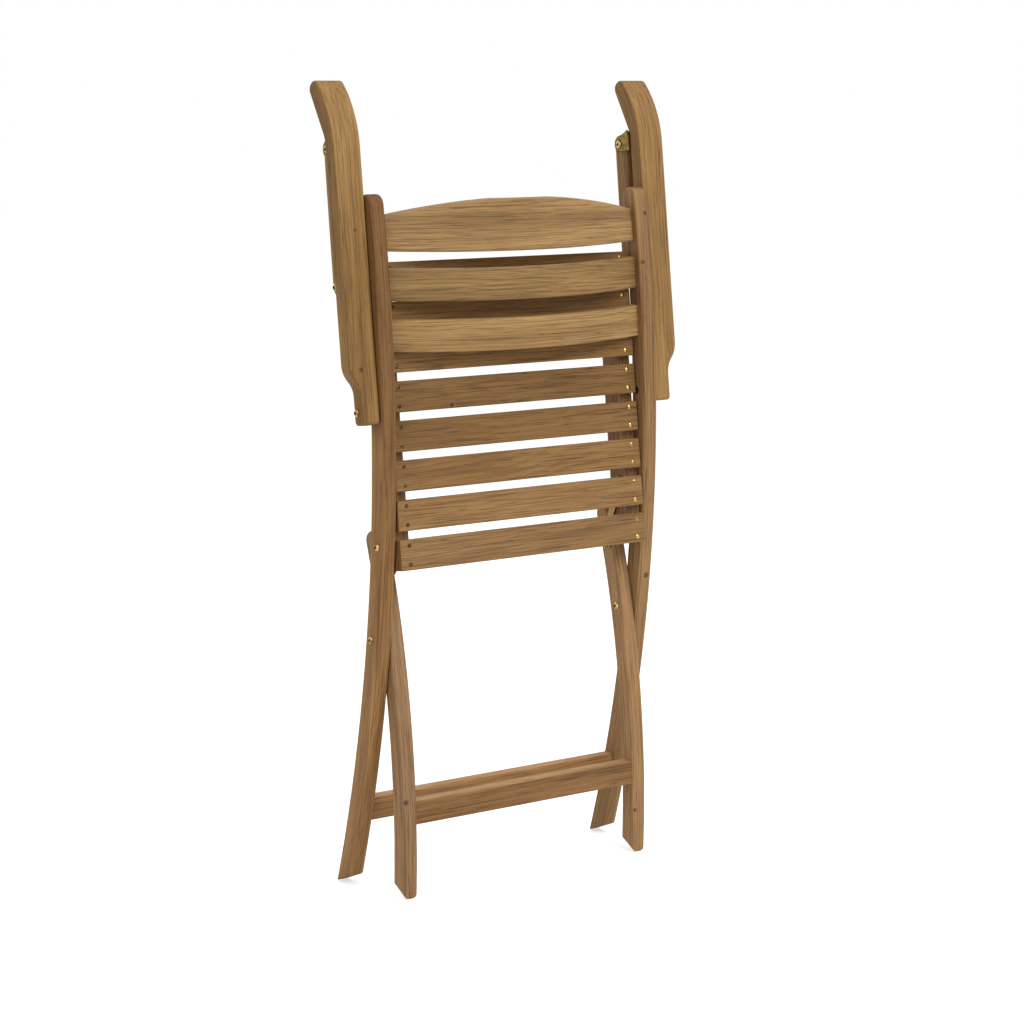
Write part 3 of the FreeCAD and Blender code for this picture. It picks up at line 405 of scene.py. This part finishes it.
# Bends of the pieces. An arc of radius R sags by 0.5 / R at one metre, as straightened has it.
STILE_MIDDLE = 0.6503
STILE_RADIUS = 2.1423
LEG_MIDDLE = 0.0651
LEG_RADIUS = 1.5177
BACK_RADIUS = 0.7216
NOSE_START = 1.071
NOSE_SAG = 3.6
STILE_BEND = ("Z", STILE_MIDDLE, 0.5 / STILE_RADIUS, True)
LEG_BEND = ("Z", LEG_MIDDLE, 0.5 / LEG_RADIUS, True)
BACK_BEND = ("X", 0.0, 0.5 / BACK_RADIUS, True)
NOSE_BEND = ("Z", NOSE_START, NOSE_SAG, False)

# Each wooden piece: grain, broad face, shift and heart in the log, and tone, then what differs;
# flank and rise are painted shade
wood = {
    "stile_left": dict(
        along=UP, facing=SIDE, shift=(0.31, 0.02, 0.0), heart=(0.055, 0.05), tone=1.12,
        # Painted shade: the side under the arm's shadow, and the upper part darker
        depth=1.03, bend=STILE_BEND, flank=("X", 1.0, (0.70, 0.77)), rise=(0.50, 0.80, 0.88),
    ),
    "stile_right": dict(
        along=UP, facing=SIDE, shift=(1.37, 0.11, 0.2), heart=(-0.045, 0.06), tone=1.01,
        depth=0.97, hue=0.503, bend=STILE_BEND,
        knots=[
            ((-0.2393, 0.0344, 0.9696), 0.0022),
            ((-0.2285, 0.0439, 0.8976), 0.0022),
            ((-0.2370, 0.0462, 0.4233), 0.0030),
        ],
    ),
    "rear_leg_left": dict(
        along=UP, facing=BACK, shift=(2.11, 0.3, 0.1), heart=(-0.20, 0.045), tone=0.96,
        depth=0.93, bend=LEG_BEND, knots=[((0.2169, 0.0654, 0.1429), 0.0028)],
    ),
    "rear_leg_right": dict(
        along=UP, facing=BACK, shift=(3.23, 0.5, 0.3), heart=(0.215, 0.04), tone=1.14,
        depth=0.95, bend=LEG_BEND, knots=[((-0.2018, 0.0674, 0.0663), 0.0020)],
    ),
    "top_rail": dict(
        along=ACROSS, facing=BACK, shift=(0.7, 0.9, 0.15), heart=(-0.99, 0.07), tone=1.065,
        depth=0.97, hue=0.507, bend=BACK_BEND,
    ),
    "back_slat_upper": dict(
        along=ACROSS, facing=BACK, shift=(4.2, 0.7, 0.35), heart=(-0.86, 0.04), tone=0.84,
        depth=1.01, hue=0.508, bend=BACK_BEND,
    ),
    "back_slat_lower": dict(
        along=ACROSS, facing=BACK, shift=(5.9, 0.4, 0.55), heart=(-0.80, 0.05), tone=1.10,
        depth=0.98, hue=0.507, bend=BACK_BEND,
    ),
    "front_stretcher": dict(
        along=ACROSS, facing=BACK, shift=(6.4, 0.2, 0.25), heart=(-0.15, 0.05), tone=1.38,
        # Painted shade on the rear face, leaving the top face lighter as if lit
        flank=("Y", 0.50, None),
    ),
    "rear_stretcher": dict(
        along=ACROSS, facing=BACK, shift=(7.1, 0.6, 0.45), heart=(-0.17, 0.05), tone=1.31,
        # Painted shade on the rear face, leaving the top face lighter as if lit
        flank=("Y", 0.80, None),
    ),
    "seat_rail_left": dict(
        along=UP_SEAT, facing=SIDE, shift=(1.9, 0.15, 0.05), heart=(0.06, 0.05), tone=0.78,
    ),
    "seat_rail_right": dict(
        along=UP_SEAT, facing=SIDE, shift=(2.9, 0.35, 0.65), heart=(0.06, 0.05), tone=0.78,
    ),
    "post_left": dict(
        along=UP_POST, facing=SIDE, shift=(3.7, 0.25, 0.75), heart=(0.06, 0.04), tone=0.96,
    ),
    "post_right": dict(
        along=UP_POST, facing=SIDE, shift=(4.6, 0.45, 0.85), heart=(0.05, 0.05), tone=0.84,
    ),
    "arm_left": dict(
        along=UP_SEAT, facing=BACK, shift=(5.3, 0.65, 0.95), heart=(-0.29, 0.05), tone=0.98,
        # Painted shade on the side faces of the arm near its top
        depth=1.04, hue=0.506, bend=NOSE_BEND, flank=("X", 0.55, (0.86, 1.04)),
        knots=[((0.2675, 0.0226, 0.9596), 0.0016), ((0.2741, 0.0451, 0.7669), 0.0020)],
    ),
    "arm_right": dict(
        along=UP_SEAT, facing=BACK, shift=(6.8, 0.85, 0.6), heart=(0.25, 0.04), tone=0.97,
        # Painted shade on the side faces of the arm near its top
        depth=1.03, hue=0.505, bend=NOSE_BEND, flank=("X", 0.60, (0.86, 1.04)),
    ),
}
SLAT_TONES = (0.84, 0.93, 0.82, 0.70, 0.645, 0.78, 0.78, 0.78)
SLAT_DEPTHS = (1.00, 1.01, 1.03, 1.05, 1.05, 1.05, 1.05, 1.05)
for index, (tone, depth) in enumerate(zip(SLAT_TONES, SLAT_DEPTHS)):
    wood[f"seat_slat_{index + 1}"] = dict(
        along=ACROSS,
        facing=BACK,
        shift=(8.0 + 0.83 * index, 0.1 + 0.17 * index, 0.3 * index),
        heart=(-0.46 - 0.058 * index, 0.03 + 0.012 * (index % 3)),
        tone=tone,
        depth=depth,
    )
wood["seat_slat_5"]["knots"] = [((0.1161, 0.0393, 0.7066), 0.0022)]
for name, look in wood.items():
    dress(name, teak(name, **look))

BRIGHT = srgb(204, 168, 100)
bolt_brass = brass("brass_bright", BRIGHT, srgb(56, 40, 22), 0.18, spots=0.85)
# The seat screws get painted shade towards the sitter's left
screw_brass = brass("brass_screw", BRIGHT, srgb(70, 50, 28), 0.22, spots=0.7, painted_shade_to_left=0.85)
plate_brass = brass("brass_dull", srgb(150, 124, 72), srgb(78, 62, 36), 0.38, spots=0.8)
aged_brass = brass("brass_aged", srgb(112, 92, 56), srgb(54, 44, 28), 0.45, spots=0.8)
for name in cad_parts:
    if name in wood:
        continue
    if name.startswith(("arm_bracket", "stay_left", "stay_right")):
        dress(name, plate_brass)
    elif name.startswith("stay") or "washers" in name or "sleeves" in name:
        dress(name, aged_brass)
    elif name.startswith("seat_screws"):
        dress(name, screw_brass)
    else:
        dress(name, bolt_brass)


def seen_directly(tree):
    """1 for the camera, for reflections and through glass, and 0 for the light on the object."""
    path = tree.nodes.new("ShaderNodeLightPath").outputs
    seen = math_node(tree, "ADD", path["Is Camera Ray"], path["Is Glossy Ray"], clamp=True)
    return math_node(tree, "ADD", seen, path["Is Transmission Ray"], clamp=True)


# Floor: pale paper that looks evenly white and keeps the object's shadow
FLOOR_REACH = 12.0
FLOOR_DROP = 0.0005
PAPER = (0.8, 0.8, 0.8, 1)
PAPER_GLOW = 0.54
paper, tree, surface = new_material("floor_paper")
matt = add(tree, "ShaderNodeBsdfDiffuse", Color=PAPER)
glow = tree.nodes.new("ShaderNodeEmission")
tree.links.new(product(tree, seen_directly(tree), PAPER_GLOW), glow.inputs["Strength"])
total = tree.nodes.new("ShaderNodeAddShader")
tree.links.new(matt.outputs[0], total.inputs[0])
tree.links.new(glow.outputs[0], total.inputs[1])
tree.links.new(total.outputs[0], surface)
mesh = bpy.data.meshes.new("floor")
corners = [(x * FLOOR_REACH, y * FLOOR_REACH, 0) for x, y in ((-1, -1), (1, -1), (1, 1), (-1, 1))]
mesh.from_pydata(corners, [], [(0, 1, 2, 3)])
floor = bpy.data.objects.new("floor", mesh)
floor.location.z = -FLOOR_DROP
floor.data.materials.append(paper)
scene.collection.objects.link(floor)

# World: a soft fill on the object and white behind it
WHITE = (1, 1, 1, 1)
FILL_STRENGTH = 0.62
world = bpy.data.worlds.new("studio")
world.use_nodes = True
tree = world.node_tree
tree.nodes.clear()
fill = add(tree, "ShaderNodeBackground", Strength=FILL_STRENGTH, Color=WHITE)
behind = add(tree, "ShaderNodeBackground", Strength=1.0, Color=WHITE)
blend = tree.nodes.new("ShaderNodeMixShader")
tree.links.new(seen_directly(tree), blend.inputs[0])
tree.links.new(fill.outputs[0], blend.inputs[1])
tree.links.new(behind.outputs[0], blend.inputs[2])
output = tree.nodes.new("ShaderNodeOutputWorld")
tree.links.new(blend.outputs[0], output.inputs["Surface"])
scene.world = world


def aim(item, direction):
    item.rotation_euler = Vector(direction).to_track_quat("-Z", "Y").to_euler()
    scene.collection.objects.link(item)


# Lamps: place, size and power, all turned to the middle of the chair
CHAIR_MIDDLE = Vector((0, 0, 0.6))
LAMPS = {
    "key": ((-0.6, 2.6, 2.9), 1.6, 62),
    "fill": ((3.4, 0.9, 1.9), 2.4, 26),
    "front": ((-0.8, -3.0, 2.0), 2.0, 26),
}
for name, (place, size, power) in LAMPS.items():
    data = bpy.data.lights.new(name, "AREA")
    data.shape = "SQUARE"
    data.size = size
    data.energy = power
    lamp = bpy.data.objects.new(name, data)
    lamp.location = place
    aim(lamp, CHAIR_MIDDLE - Vector(place))

# Camera: at the photograph's angle, with its focal length in pixels of the frame
FOCAL_PIXELS = 2736.6
FRAME_PIXELS = 1024
SENSOR_WIDTH = 36
CAMERA_PLACE = (2.3406, 3.2264, 1.1603)
CAMERA_DIRECTION = (-0.5832, -0.7975, -0.1547)
camera_data = bpy.data.cameras.new("camera")
camera_data.sensor_width = SENSOR_WIDTH
camera_data.lens = FOCAL_PIXELS * SENSOR_WIDTH / FRAME_PIXELS
camera = bpy.data.objects.new("camera", camera_data)
camera.location = CAMERA_PLACE
aim(camera, CAMERA_DIRECTION)
scene.camera = camera
scene.view_settings.view_transform = "Standard"
